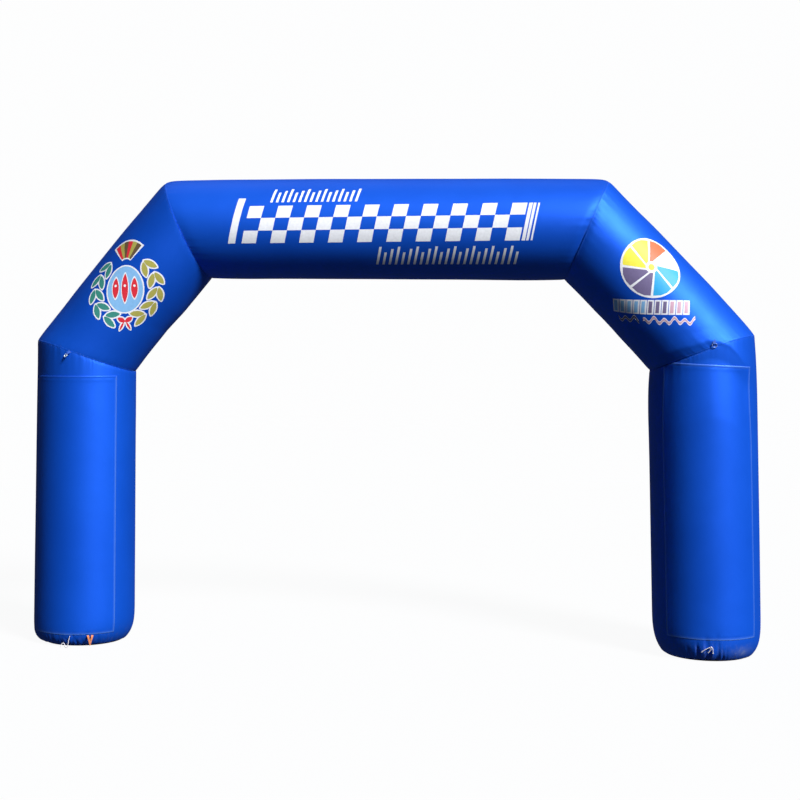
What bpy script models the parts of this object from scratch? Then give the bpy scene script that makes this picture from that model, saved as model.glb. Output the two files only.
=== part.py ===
"""Inflatable event arch, built from its sewn pieces.

Five lengths of cloth tube meet at mitred seams: two legs, two diagonals and a beam. Each leg ends in a
rounded foot on a round base panel, and carries a rectangular banner panel. A webbing tab with a D-ring hangs
from each shoulder seam, and short ties and an orange anchor strap hang at the feet.

Metres, +Z up. The origin is on the ground, midway between the legs on the tube's centre plane.
+X runs along the beam, and the front of the arch faces -Y.
"""

import math

import bmesh
import bpy
from mathutils import Matrix, Vector

MM = 0.001

# Driving dimensions of the arch.
TUBE_RADIUS = 0.42
LEG_OFFSET = 2.58
SHOULDER_HEIGHT = 2.42
BEAM_HALF_LENGTH = 1.68
BEAM_HEIGHT = 3.45
AIR_GAP = 0.4 * MM

# How far each seam draws the cloth in, and how far along the tube that reaches.
SEAM_DRAW = 7 * MM
CORNER_DRAW = 12 * MM
SEAM_REACH = 50 * MM

# The foot: a round base panel, and the tube's rounded edge above it.
BASE_RADIUS = 0.33
BASE_THICKNESS = 3 * MM
FOOT_FLAT_RADIUS = 0.335
FOOT_HEIGHT = 0.09

FACETS = 48
FACET_ANGLE = 2 * math.pi / FACETS
SEAM_STATIONS = (0.0, 0.025, 0.06, 0.11, 0.19)

# The banner panels: 2.12 m tall and 14 facets wide, each hung at its own height.
PANEL_HEIGHT = 2.12
PANEL_FACETS = 14
PANEL_THICKNESS = 2 * MM
PANEL_STAND_OFF = 0.6 * MM
PANELS = (
    {"name": "banner_panel_left", "leg_x": -LEG_OFFSET, "hem_height": 0.100},
    {"name": "banner_panel_right", "leg_x": LEG_OFFSET, "hem_height": 0.155},
)

# The tethers: root is where the tab is sewn to the cloth, the left one in the shoulder seam and the right one just
# above it. swing turns the tab from straight down, towards +X, and twist turns the ring about the tab.
TAB_WIDTH = 25 * MM
TAB_THICKNESS = 1.2 * MM
TAB_LENGTH = 34 * MM
EYE_RADIUS = 5.2 * MM
PLY_SPACING = 3.2 * MM
TAB_STEPS = 10
ROOT_LIFT = 3.8 * MM
RING_WIRE_RADIUS = 3 * MM
RING_HALF_WIDTH = 19 * MM
RING_CORNER = 6 * MM
RING_BOW_DROP = 10 * MM
TETHERS = (
    {
        "side": "left",
        "root": (-LEG_OFFSET - 23 * MM, -412.4 * MM, SHOULDER_HEIGHT + 8.6 * MM),
        "swing": -41,
        "twist": -55,
        "lift": 22 * MM,
    },
    {
        "side": "right",
        "root": (LEG_OFFSET + 57 * MM, -406.5 * MM, SHOULDER_HEIGHT + 90 * MM),
        "swing": 4,
        "twist": 12,
        "lift": 9 * MM,
    },
)

# The orange anchor strap: a flat webbing V. Each row gives the edges of its legs at one drop.
STRAP_ANGLE = math.radians(23)
STRAP_THICKNESS = 2 * MM
STRAP_ROWS = (
    {"drop": 0.0, "outer": 27.0, "inner": 9.0, "off": 1.8},
    {"drop": 8.0, "outer": 25.0, "inner": 7.6, "off": 6.5},
    {"drop": 16.0, "outer": 23.0, "inner": 6.2, "off": 8.5},
    {"drop": 28.0, "outer": 19.5, "inner": 4.0, "off": 8.5},
    {"drop": 46.0, "outer": 14.0, "inner": 0.0, "off": 6.5},
    {"drop": 66.0, "outer": 8.5, "inner": 0.0, "off": 3.0},
    {"drop": 80.0, "outer": 5.0, "inner": 0.0, "off": 0.5},
    {"drop": 84.0, "outer": 2.5, "inner": 0.0, "off": 0.0},
)

# The ties: each route lists points as x from the leg's axis, distance in front of the tube, and height.
TIE_RADIUS = 3 * MM
TIE_POINT_SPACING = 12 * MM
TIES = (
    {
        "name": "tie_left",
        "leg_x": -LEG_OFFSET,
        "route": (
            (3, 4, 99), (2, 4, 92), (0, 5, 82), (-3, 5, 70), (-6, 5, 58), (-8, 6, 46), (-9, 7, 34),
            (-10, 8, 22), (-13, 9, 12), (-19, 9, 6), (-27, 8, 6), (-34, 6, 11), (-38, 3, 20), (-42, 0, 30),
            (-49, -2, 37), (-58, -2, 37), (-65, 0, 31), (-69, 3, 21), (-71, 6, 12), (-73, 9, 4),
        ),
    },
    {
        "name": "tie_right_long_end",
        "leg_x": LEG_OFFSET,
        "route": (
            (-26, 8, 124), (-32, 8, 122), (-39, 7, 119), (-46, 6, 115), (-53, 5, 111), (-60, 4, 107),
            (-67, 3, 103), (-74, 2, 99), (-80, 1, 94), (-86, 0, 89), (-91, -1, 84),
        ),
    },
    {
        "name": "tie_right_short_end",
        "leg_x": LEG_OFFSET,
        "route": (
            (-18, 9, 117), (-20, 9, 111), (-23, 9, 105), (-27, 8, 99), (-31, 7, 93), (-36, 6, 87), (-40, 5, 82),
        ),
    },
    {
        "name": "tie_right_tail",
        "leg_x": LEG_OFFSET,
        "route": (
            (-9, 9, 121), (-6, 9, 117), (-4, 9, 111), (-3, 8, 105), (-3, 8, 99), (-3, 7, 93), (-3, 6, 88),
        ),
    },
)
KNOTS = (
    {"name": "tie_right_knot", "leg_x": LEG_OFFSET, "centre": (-17, 8.5, 126), "size": (16, 15, 14)},
    {"name": "tie_right_tail_knot", "leg_x": LEG_OFFSET, "centre": (-3, 6.5, 80.5), "size": (13, 12, 13)},
)


def clear_scene():
    for old in list(bpy.data.objects):
        bpy.data.objects.remove(old, do_unlink=True)


def principled(name, colour, roughness, metallic=0.0):
    material = bpy.data.materials.new(name)
    material.use_nodes = True
    shader = material.node_tree.nodes["Principled BSDF"]
    shader.inputs["Base Color"].default_value = (*colour, 1.0)
    shader.inputs["Roughness"].default_value = roughness
    shader.inputs["Metallic"].default_value = metallic
    return material


def add_mesh(name, bm, material, matrix=None, sharp_angle=35):
    """Make the bmesh one smooth-shaded object of the scene."""
    bmesh.ops.recalc_face_normals(bm, faces=bm.faces)
    mesh = bpy.data.meshes.new(name)
    bm.to_mesh(mesh)
    bm.free()
    mesh.shade_smooth()
    mesh.set_sharp_from_angle(angle=math.radians(sharp_angle))
    mesh.materials.append(material)
    part = bpy.data.objects.new(name, mesh)
    bpy.context.scene.collection.objects.link(part)
    if matrix is not None:
        part.matrix_world = matrix
    return part


def skin_rings(bm, rings, closed_path=False):
    """Join rings of equal length with quads, and cap both ends unless the path closes on itself."""
    loops = [[bm.verts.new(point) for point in ring] for ring in rings]
    pairs = list(zip(loops, loops[1:] + loops[:1])) if closed_path else list(zip(loops, loops[1:]))
    for near, far in pairs:
        for i in range(len(near)):
            j = (i + 1) % len(near)
            bm.faces.new((near[i], near[j], far[j], far[i]))
    if not closed_path:
        bm.faces.new(loops[0])
        bm.faces.new(loops[-1])


# ---- tube sections: cloth cut to a mitre, drawn in where it is sewn ----


def draw_in(turn, distance):
    """How far the cloth is pulled towards the axis, this far from a seam. It is most at the outer corner."""
    depth = SEAM_DRAW + CORNER_DRAW * max(0.0, math.cos(turn)) ** 4
    return depth * math.exp(-distance / SEAM_REACH)


def cut_offset(spoke, axis, cut_normal):
    """Where the line along the tube at this spoke meets the mitre plane, measured along the axis."""
    return -spoke.dot(cut_normal) / axis.dot(cut_normal)


def foot_rings(foot, axis, spokes):
    """The foot's rings, from its flat base to the tube's full radius. axis points up the leg."""
    bottom = foot + axis * (BASE_THICKNESS + AIR_GAP)
    rings = []
    for step in range(5):
        turn = math.radians(22.5) * step
        radius = FOOT_FLAT_RADIUS + (TUBE_RADIUS - FOOT_FLAT_RADIUS) * math.sin(turn)
        height = FOOT_HEIGHT * (1 - math.cos(turn))
        rings.append([bottom + spoke * radius + axis * height for _, spoke in spokes])
    return rings


def seam_rings(joint, axis, cut_normal, spokes):
    """The rings next to a mitred seam, from the seam inwards. axis points away from the seam."""
    rings = []
    for distance in SEAM_STATIONS:
        ring = []
        for turn, spoke in spokes:
            at_seam = spoke * (TUBE_RADIUS - draw_in(turn, 0))
            along = cut_offset(at_seam, axis, cut_normal) + AIR_GAP / 2 / abs(axis.dot(cut_normal)) + distance
            ring.append(joint + axis * along + spoke * (TUBE_RADIUS - draw_in(turn, distance)))
        rings.append(ring)
    return rings


def tube_section(name, material, start, end, start_cut, end_cut, middle_rings):
    """One length of tube from start to end. A cut of None makes a foot at that end."""
    axis = (end - start).normalized()
    outward = Vector((-axis.z, 0.0, axis.x))
    spokes = []
    for i in range(FACETS):
        turn = i * FACET_ANGLE
        spokes.append((turn, outward * math.cos(turn) + Vector((0.0, math.sin(turn), 0.0))))
    head = seam_rings(start, axis, start_cut, spokes) if start_cut else foot_rings(start, axis, spokes)
    tail = seam_rings(end, -axis, end_cut, spokes) if end_cut else foot_rings(end, -axis, spokes)
    middle = []
    for step in range(1, middle_rings + 1):
        share = step / (middle_rings + 1)
        middle.append([a.lerp(b, share) for a, b in zip(head[-1], tail[-1])])
    bm = bmesh.new()
    skin_rings(bm, head + middle + tail[::-1])
    return add_mesh(name, bm, material)


def mitre_normal(before, joint, after):
    return ((joint - before).normalized() + (after - joint).normalized()).normalized()


def build_tubes(cloth):
    route = [
        Vector((x, 0.0, z))
        for x, z in (
            (-LEG_OFFSET, 0.0),
            (-LEG_OFFSET, SHOULDER_HEIGHT),
            (-BEAM_HALF_LENGTH, BEAM_HEIGHT),
            (BEAM_HALF_LENGTH, BEAM_HEIGHT),
            (LEG_OFFSET, SHOULDER_HEIGHT),
            (LEG_OFFSET, 0.0),
        )
    ]
    cuts = [None] + [mitre_normal(*route[i - 1 : i + 2]) for i in range(1, 5)] + [None]
    sections = (
        {"name": "leg_left", "middle_rings": 2},
        {"name": "diagonal_left", "middle_rings": 1},
        {"name": "beam", "middle_rings": 2},
        {"name": "diagonal_right", "middle_rings": 1},
        {"name": "leg_right", "middle_rings": 2},
    )
    for i, section in enumerate(sections):
        tube_section(
            section["name"], cloth, route[i], route[i + 1], cuts[i], cuts[i + 1], section["middle_rings"]
        )


# ---- base panels: the heavier round cloth under each foot ----


def build_base_panels(base_cloth):
    for name, leg_x in (("base_panel_left", -LEG_OFFSET), ("base_panel_right", LEG_OFFSET)):
        bm = bmesh.new()
        bmesh.ops.create_cone(
            bm, cap_ends=True, segments=FACETS, radius1=BASE_RADIUS, radius2=BASE_RADIUS, depth=BASE_THICKNESS
        )
        add_mesh(name, bm, base_cloth, Matrix.Translation((leg_x, 0.0, BASE_THICKNESS / 2)))


# ---- banner panels: rectangles of the same cloth, wrapped round the front of each leg ----


def build_banner_panels(cloth):
    for panel in PANELS:
        columns = []
        for step in range(PANEL_FACETS + 1):
            turn = (step - PANEL_FACETS / 2) * FACET_ANGLE
            spoke = Vector((math.sin(turn), -math.cos(turn), 0.0))
            inner = spoke * (TUBE_RADIUS + PANEL_STAND_OFF)
            outer = spoke * (TUBE_RADIUS + PANEL_STAND_OFF + PANEL_THICKNESS)
            rise = Vector((0.0, 0.0, PANEL_HEIGHT))
            columns.append([inner, outer, outer + rise, inner + rise])
        bm = bmesh.new()
        skin_rings(bm, columns)
        add_mesh(panel["name"], bm, cloth, Matrix.Translation((panel["leg_x"], 0.0, panel["hem_height"])))


# ---- tethers: a folded webbing tab sewn at the shoulder seam, with a steel D-ring in its eye ----


def tether_frame(tether):
    """The tab's own frame at its root: x across the webbing, y out of the cloth, z back up the tab."""
    root = Matrix.Translation(tether["root"])
    return root @ Matrix.Rotation(math.radians(-tether["swing"]), 4, "Y") @ Matrix.Rotation(math.pi, 4, "Z")


def hang_from_seam(point, tether):
    """Lift a point off the cloth and twist it about the tab, more the further it is from the seam."""
    drop = max(0.0, -point.z)
    share = min(1.0, drop / (TAB_LENGTH - EYE_RADIUS))
    ease = share * share * (3 - 2 * share)
    lift = ROOT_LIFT + (tether["lift"] - ROOT_LIFT) * ease + SEAM_DRAW - draw_in(math.pi / 2, drop)
    turned = Matrix.Rotation(math.radians(tether["twist"]) * ease, 3, "Z") @ Vector((point.x, point.y, 0.0))
    return Vector((turned.x, turned.y + lift, point.z))


def tab_outline():
    """The folded tab's side view: out along one ply, round the eye, and back. Points are (out, drop)."""
    half = PLY_SPACING / 2
    straight = TAB_LENGTH - EYE_RADIUS * 1.5
    path = [(half, straight * step / TAB_STEPS) for step in range(TAB_STEPS + 1)]
    for step in range(13):
        turn = math.radians(60 + 20 * step)
        path.append((EYE_RADIUS * math.sin(turn), TAB_LENGTH - EYE_RADIUS * math.cos(turn)))
    path += [(-half, straight * (1 - step / TAB_STEPS)) for step in range(TAB_STEPS + 1)]
    return path


def build_tab(tether, webbing):
    path = [Vector(point) for point in tab_outline()]
    sides = []
    for i, here in enumerate(path):
        along = (path[min(i + 1, len(path) - 1)] - path[max(i - 1, 0)]).normalized()
        across = Vector((-along.y, along.x)) * TAB_THICKNESS / 2
        sides.append((here + across, here - across))
    rings = []
    for outer, inner in sides:
        ring = [Vector((share * TAB_WIDTH / 2, outer.x, -outer.y)) for share in (-1.0, -0.33, 0.33, 1.0)]
        ring += [Vector((share * TAB_WIDTH / 2, inner.x, -inner.y)) for share in (1.0, 0.33, -0.33, -1.0)]
        rings.append(ring)
    rings = [[hang_from_seam(point, tether) for point in ring] for ring in rings]
    bm = bmesh.new()
    skin_rings(bm, rings)
    add_mesh(f"tether_tab_{tether['side']}", bm, webbing, tether_frame(tether))


def ring_path():
    """The D-ring's centre line: a straight bar in the eye, two corners and a round bow."""
    bar_half = RING_HALF_WIDTH - RING_CORNER
    path = [(share * bar_half, 0.0) for share in (-1.0, -0.33, 0.33, 1.0)]
    for step in range(1, 4):
        turn = math.radians(30 * step)
        path.append((bar_half + RING_CORNER * math.sin(turn), RING_CORNER * (1 - math.cos(turn))))
    for step in range(13):
        turn = math.radians(15 * step)
        path.append((RING_HALF_WIDTH * math.cos(turn), RING_BOW_DROP + RING_HALF_WIDTH * math.sin(turn)))
    for step in range(3, 0, -1):
        turn = math.radians(30 * step)
        path.append((-bar_half - RING_CORNER * math.sin(turn), RING_CORNER * (1 - math.cos(turn))))
    return path


def build_ring(tether, steel):
    path = [Vector(point) for point in ring_path()]
    rings = []
    for i, here in enumerate(path):
        along = (path[(i + 1) % len(path)] - path[i - 1]).normalized()
        side = Vector((-along.y, along.x))
        ring = []
        for step in range(8):
            turn = math.radians(45 * step + 22.5)
            across = here + side * RING_WIRE_RADIUS * math.cos(turn)
            ring.append(Vector((across.x, RING_WIRE_RADIUS * math.sin(turn), -TAB_LENGTH - across.y)))
        rings.append([hang_from_seam(point, tether) for point in ring])
    bm = bmesh.new()
    skin_rings(bm, rings, closed_path=True)
    add_mesh(f"tether_ring_{tether['side']}", bm, steel, tether_frame(tether), sharp_angle=60)


# ---- anchor strap: an orange webbing V whose two ends are sewn under the left banner's hem ----


def build_anchor_strap(webbing):
    bm = bmesh.new()
    rows = []
    for row in STRAP_ROWS:
        edges = [-row["outer"], -row["inner"], row["inner"], row["outer"]]
        rows.append([bm.verts.new((x * MM, row["off"] * MM, -row["drop"] * MM)) for x in edges])
    for upper, lower in zip(rows, rows[1:]):
        for i in (0, 2):
            bm.faces.new((upper[i], upper[i + 1], lower[i + 1], lower[i]))
    bmesh.ops.remove_doubles(bm, verts=bm.verts, dist=1e-6)
    place = (
        Matrix.Translation((-LEG_OFFSET, 0.0, PANELS[0]["hem_height"] - AIR_GAP))
        @ Matrix.Rotation(STRAP_ANGLE + math.pi, 4, "Z")
        @ Matrix.Translation((0.0, TUBE_RADIUS, 0.0))
    )
    strap = add_mesh("anchor_strap_left", bm, webbing, place)
    thickness = strap.modifiers.new("webbing thickness", "SOLIDIFY")
    thickness.thickness = STRAP_THICKNESS
    thickness.offset = 0.0
    thickness.use_even_offset = True


# ---- ties: limp cord at the feet, with its knots ----


def tie_point(leg_x, point):
    """A route's point in the world: millimetres from the leg's axis, from the tube's front and from the floor."""
    x, front, height = point
    return Vector((leg_x + x * MM, -TUBE_RADIUS - front * MM, height * MM))


def smooth_route(points, spacing):
    """Evenly spaced points on a smooth curve through the route's own points."""
    dense = []
    last = len(points) - 1
    for i in range(last):
        before, a, b, after = points[max(i - 1, 0)], points[i], points[i + 1], points[min(i + 2, last)]
        for step in range(8):
            t = step / 8
            dense.append(
                a
                + (b - before) * (t / 2)
                + (before * 2 - a * 5 + b * 4 - after) * (t * t / 2)
                + (a * 3 - before - b * 3 + after) * (t * t * t / 2)
            )
    dense.append(points[-1])
    length = sum((b - a).length for a, b in zip(dense, dense[1:]))
    count = max(3, round(length / spacing))
    even, walked, target = [dense[0]], 0.0, length / count
    for a, b in zip(dense, dense[1:]):
        walked += (b - a).length
        if walked >= target * len(even) - 1e-9 and len(even) < count:
            even.append(b)
    even.append(dense[-1])
    return even


def build_tie(tie, cord):
    route = [tie_point(tie["leg_x"], point) for point in tie["route"]]
    curve = bpy.data.curves.new(tie["name"], "CURVE")
    curve.dimensions = "3D"
    curve.bevel_depth = TIE_RADIUS
    curve.bevel_resolution = 2
    curve.use_fill_caps = True
    path = smooth_route(route, TIE_POINT_SPACING)
    spline = curve.splines.new("POLY")
    spline.points.add(len(path) - 1)
    for spline_point, place in zip(spline.points, path):
        spline_point.co = (*place, 1.0)
    curve.materials.append(cord)
    tie_object = bpy.data.objects.new(tie["name"], curve)
    bpy.context.scene.collection.objects.link(tie_object)


def build_knot(knot, cord):
    bm = bmesh.new()
    bmesh.ops.create_icosphere(bm, subdivisions=2, radius=0.5)
    bmesh.ops.scale(bm, vec=[side * MM for side in knot["size"]], verts=bm.verts)
    place = Matrix.Translation(tie_point(knot["leg_x"], knot["centre"]))
    add_mesh(knot["name"], bm, cord, place, sharp_angle=80)


clear_scene()
build_tubes(principled("blue cloth", (0.01, 0.10, 0.62), 0.45))
build_base_panels(principled("base cloth", (0.02, 0.03, 0.08), 0.6))
build_banner_panels(principled("banner cloth", (0.01, 0.11, 0.65), 0.42))
tab_webbing = principled("blue webbing", (0.01, 0.08, 0.42), 0.7)
ring_steel = principled("ring steel", (0.72, 0.74, 0.76), 0.25, 1.0)
for tether in TETHERS:
    build_tab(tether, tab_webbing)
    build_ring(tether, ring_steel)
build_anchor_strap(principled("orange webbing", (0.85, 0.30, 0.06), 0.7))
tie_cord = principled("white cord", (0.85, 0.86, 0.88), 0.75)
for tie in TIES:
    build_tie(tie, tie_cord)
for knot in KNOTS:
    build_knot(knot, tie_cord)
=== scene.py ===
"""How the inflatable event arch looks: its cloth tubes, prints, banner panels, tethers and foot ties.

Metres, +Z up, with the front of the arch facing -Y. Every piece is made where its solid stands in the frame.
"""

import math

import bmesh
import bpy
import numpy as np
from mathutils import Matrix, Vector
from mathutils.bvhtree import BVHTree


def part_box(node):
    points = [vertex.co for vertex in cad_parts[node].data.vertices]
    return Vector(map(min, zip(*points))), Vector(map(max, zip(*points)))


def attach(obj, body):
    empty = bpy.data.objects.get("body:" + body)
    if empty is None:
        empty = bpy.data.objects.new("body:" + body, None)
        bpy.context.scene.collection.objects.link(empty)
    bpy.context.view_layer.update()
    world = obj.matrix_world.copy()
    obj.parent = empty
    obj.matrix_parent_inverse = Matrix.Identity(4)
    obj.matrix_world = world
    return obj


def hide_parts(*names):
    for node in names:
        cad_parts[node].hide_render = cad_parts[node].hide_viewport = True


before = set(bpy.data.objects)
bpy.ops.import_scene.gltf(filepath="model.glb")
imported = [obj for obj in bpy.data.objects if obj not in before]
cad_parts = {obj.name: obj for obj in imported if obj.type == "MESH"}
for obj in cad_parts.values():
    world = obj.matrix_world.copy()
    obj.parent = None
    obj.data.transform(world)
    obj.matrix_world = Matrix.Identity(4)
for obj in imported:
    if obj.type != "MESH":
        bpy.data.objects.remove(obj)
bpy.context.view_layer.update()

# ---- The five tube sections ----
# Coated polyester cloth cut on the slant, sewn end to end with two rows of lock stitch and held open by air.
# Each section is laid out as rows round the tube and blown up by a short cloth simulation. Then it gets the
# gathers that its seams and its foot pull into the cloth.
right_leg_low, right_leg_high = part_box("leg_right")
beam_low, beam_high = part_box("beam")
LEG_X = (right_leg_low.x + right_leg_high.x) / 2
BEAM_Z = (beam_low.z + beam_high.z) / 2
BEAM_HALF = 1.68
SHOULDER_Z = 2.42
TUBE_RADIUS = 0.42
SLACK = 0.0035

CLOTH_DRAW = 0.0055
CLOTH_REACH = 0.085
CORNER_DRAW = 0.013
CORNER_REACH = 0.028
SHOULDER_SAG = 0.040
SHOULDER_BOW = 0.014
SHOULDER_SPREAD = 0.045
SEAM_GAP = 0.0004
STITCH_INSET = 0.008

FOOT_FLAT_RADIUS = 0.327
FOOT_RISE = {"left": (0.09, 0.20), "right": (0.21, 0.26)}
FRONT_RISE = 0.10
FOOT_BOTTOM = 0.0034
FOOT_STEPS = 10

END_ROWS = [0.016 * step + 0.0016 * step * step for step in range(13)]
MIDDLE_SPACING = 0.055
SLACK_REACH = 0.03
SWELL_REACH = 0.08
AIR_PRESSURE = 4.0
AIR_STEPS = 20
MOST_SWELL = 0.012
ALLOWANCE_SHARES = (0.93, 0.97)
STITCH_ROW = 0.07

HOLLOW_HEIGHT = 0.0011
SEWN_FLAT = 0.012
STITCH_DENT = 0.0005
# Puckers along a seam: the fewest and most round the tube, their height, and how far they reach.
PUCKERS = ((26, 44, 0.0010, 0.085), (60, 104, 0.0008, 0.035))

ARCH_ROUTE = [
    Vector((x, 0.0, z))
    for x, z in (
        (-LEG_X, 0.0),
        (-LEG_X, SHOULDER_Z - 0.014),
        (-BEAM_HALF - 0.012, BEAM_Z + 0.016),
        (BEAM_HALF, BEAM_Z - 0.026),
        (LEG_X + 0.010, SHOULDER_Z),
        (LEG_X, 0.0),
    )
]
# Each section's name, columns round it, seed, and how much wider its tube is at its start and its end.
SECTIONS = (
    ("leg_left", 192, 11, (0.000, -0.002)),
    ("diagonal_left", 160, 12, (-0.013, -0.002)),
    ("beam", 160, 13, (0.003, 0.003)),
    ("diagonal_right", 160, 14, (-0.010, -0.010)),
    ("leg_right", 192, 15, (0.011, 0.003)),
)


def add_node(material, kind, sockets, **settings):
    """One shader node. sockets maps each input to a number, a colour or the output that feeds it."""
    tree = material.node_tree
    made = tree.nodes.new("ShaderNode" + kind)
    for name, value in settings.items():
        setattr(made, name, value)
    for key, value in sockets.items():
        if isinstance(value, bpy.types.NodeSocket):
            tree.links.new(value, made.inputs[key])
        else:
            made.inputs[key].default_value = value
    return made


def calc(material, operation, *values):
    """The output of one Math node."""
    return add_node(material, "Math", dict(enumerate(values)), operation=operation).outputs[0]


def mix_colours(material, share, first, second):
    mixed = add_node(material, "Mix", {"Factor": share, 6: first, 7: second}, data_type="RGBA")
    return mixed.outputs[2]


def new_material(name, colour, roughness, metallic=0.0, sheen=0.0, specular=0.5):
    material = bpy.data.materials.new(name)
    material.use_nodes = True
    material.diffuse_color = (*colour, 1.0)
    finish = {
        "Base Color": (*colour, 1.0),
        "Roughness": roughness,
        "Metallic": metallic,
        "Sheen Weight": sheen,
        "Sheen Roughness": 0.4,
        "Specular IOR Level": specular,
    }
    for socket, value in finish.items():
        material.node_tree.nodes["Principled BSDF"].inputs[socket].default_value = value
    return material


def weave_height(material, pitch):
    """The over and under of a plain weave, measured along the cloth."""
    lengths = add_node(material, "UVMap", {}, uv_map="cloth").outputs[0]
    split = add_node(material, "SeparateXYZ", {0: lengths})
    turns = [calc(material, "MULTIPLY", split.outputs[axis], math.tau / pitch) for axis in ("X", "Y")]
    return calc(material, "MULTIPLY", *(calc(material, "SINE", turn) for turn in turns))


def uneven(material, size, detail=3.0):
    """Soft blotches from 0 to 1, about this size in metres."""
    place = add_node(material, "TexCoord", {}).outputs["Object"]
    return add_node(material, "TexNoise", {"Vector": place, "Scale": 1 / size, "Detail": detail}).outputs[0]


def stretched(material, value, low=0.0, high=1.0, least=0.0, most=1.0):
    """A value between low and high, made to run from least to most."""
    return add_node(material, "MapRange", {0: value, 1: low, 2: high, 3: least, 4: most}).outputs[0]


def shade_on(material, name):
    """The number that set_shade puts on the points."""
    return add_node(material, "Attribute", {}, attribute_name=name).outputs["Fac"]


def feed_shader(material, socket, source):
    material.node_tree.links.new(source, material.node_tree.nodes["Principled BSDF"].inputs[socket])


def use_bump(material, height, distance, strength):
    bump = add_node(material, "Bump", {"Height": height, "Distance": distance, "Strength": strength})
    feed_shader(material, "Normal", bump.outputs[0])


def coated_cloth(name, colour, faded, roughness):
    """Satin coated polyester: a fine weave, slight fading, dust low down, a dull line along each seam and
    painted foot highlights.
    """
    material = new_material(name, colour, roughness, metallic=0.50, specular=0.32)
    fading = stretched(material, uneven(material, 0.7), 0.35, 0.7)
    blue = mix_colours(material, fading, (*colour, 1.0), (*faded, 1.0))
    dull = (*(0.55 * share for share in colour), 1.0)
    sewn = mix_colours(material, shade_on(material, "seam_shade"), blue, dull)
    place = add_node(material, "TexCoord", {}).outputs["Object"]
    height = add_node(material, "SeparateXYZ", {0: place}).outputs["Z"]
    specks = stretched(material, uneven(material, 0.03, 6.0), 0.5, 0.75)
    dust = calc(material, "MULTIPLY", stretched(material, height, 0.16, 0.0), specks)
    dusty = mix_colours(material, calc(material, "MULTIPLY", dust, 0.35), sewn, (0.16, 0.17, 0.24, 1.0))
    speckled = calc(material, "ADD", specks, 0.50)
    # Paler on the right foot: one pale patch, and painted highlights along the pleat crests.
    paled_and_highlit = calc(material, "MULTIPLY", shade_on(material, "foot_patch_and_crest_highlights"), speckled)
    feed_shader(material, "Base Color", mix_colours(material, paled_and_highlit, dusty, (0.20, 0.30, 0.72, 1.0)))
    blotches = uneven(material, 0.18)
    wear = stretched(material, blotches, least=roughness - 0.05, most=roughness + 0.06)
    feed_shader(material, "Roughness", wear)
    use_bump(material, weave_height(material, 0.0012), 0.00012, 0.6)
    return material


tube_cloth = coated_cloth("tube_cloth", (0.003, 0.096, 0.70), (0.004, 0.106, 0.74), 0.52)


def spokes_round(axis, turn):
    """Directions out from a tube's axis, counted from the outside of the arch."""
    return np.outer(np.cos(turn), (-axis.z, 0.0, axis.x)) + np.outer(np.sin(turn), (0.0, 1.0, 0.0))


def seam_curve(joint, cut, axis, turn):
    """A seam's points from its joint, and how far along the cloth its pull reaches.

    An elbow's outer corner is drawn in and rounded off. A shoulder's stays full and sags down the leg.
    """
    outer = np.maximum(0.0, np.cos(turn))
    corner = outer**4
    if joint.z > SHOULDER_Z + 0.5:
        radius = TUBE_RADIUS - CLOTH_DRAW - CORNER_DRAW * corner
        reach = CLOTH_REACH + (CORNER_REACH - CLOTH_REACH) * corner
        sag = 0.0
    else:
        axis = Vector((0.0, 0.0, 1.0 if joint.x < 0 else -1.0))
        radius = TUBE_RADIUS - CLOTH_DRAW * (1 - corner)
        reach = CLOTH_REACH + SHOULDER_SPREAD * corner
        sag = SHOULDER_SAG * outer**3 - SHOULDER_BOW * np.sin(turn) ** 2
    spokes = spokes_round(axis, turn)
    along = -(spokes @ np.array(cut)) / axis.dot(cut) * radius
    points = spokes * radius[:, None] + along[:, None] * np.array(axis)
    points[:, 2] -= sag
    return points, reach


def round_waves(turn, fewest, most, seed):
    """Uneven ripples round a tube, from about -1 to 1, with between fewest and most crests in a full turn."""
    random = np.random.default_rng(seed)
    total = np.zeros_like(turn)
    for _ in range(9):
        total += np.cos(random.integers(fewest, most + 1) * turn + random.uniform(0, math.tau))
    return total / 3.0


def long_waves(turn, along, seed):
    """Soft hollows and swellings of taut cloth, longer down the tube than round it."""
    random = np.random.default_rng(seed)
    total = np.zeros_like(along)
    for _ in range(10):
        around = random.integers(2, 8)
        lengthwise = random.normal(0.0, 2.6)
        total += np.cos(around * turn + lengthwise * along + random.uniform(0, math.tau))
    return total / 3.2


def walk(points):
    """How far along its line each point is."""
    steps = np.linalg.norm(np.diff(points, axis=0), axis=-1)
    return np.concatenate([np.zeros_like(steps[:1]), np.cumsum(steps, axis=0)])


def foot_rows(place, inward, spokes, full):
    """The rounded rows from the base panel's edge up to the wall. They climb further at the foot's sides."""
    outer_rise, inner_rise = FOOT_RISE["left" if place[0] < 0 else "right"]
    to_side = np.sign(place[0]) * spokes[:, :1]
    rise = FRONT_RISE + (np.where(to_side > 0, outer_rise, inner_rise) - FRONT_RISE) * np.abs(to_side)
    rows = []
    for step in range(FOOT_STEPS + 1):
        lean = math.pi / 2 * step / FOOT_STEPS
        radius = FOOT_FLAT_RADIUS + (full - FOOT_FLAT_RADIUS) * math.sin(lean)
        rows.append(place + spokes * radius + inward * (FOOT_BOTTOM + rise * (1 - math.cos(lean))))
    return rows


def seam_rows(place, inward, spokes, full, swell, seam, reach):
    """The rows beside a mitre seam, from the seam's own curve to the full round of the tube."""
    along = seam @ inward
    spread = seam - along[:, None] * inward
    rows = []
    for distance in END_ROWS:
        radius = full + SLACK * math.exp(-distance / SLACK_REACH)
        radius += swell * (1 - math.exp(-distance / SWELL_REACH))
        pull = np.exp(-distance / reach)[:, None]
        row = spread * pull + spokes * radius * (1 - pull)
        rows.append(place + (along + distance)[:, None] * inward + row)
    return rows


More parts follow.
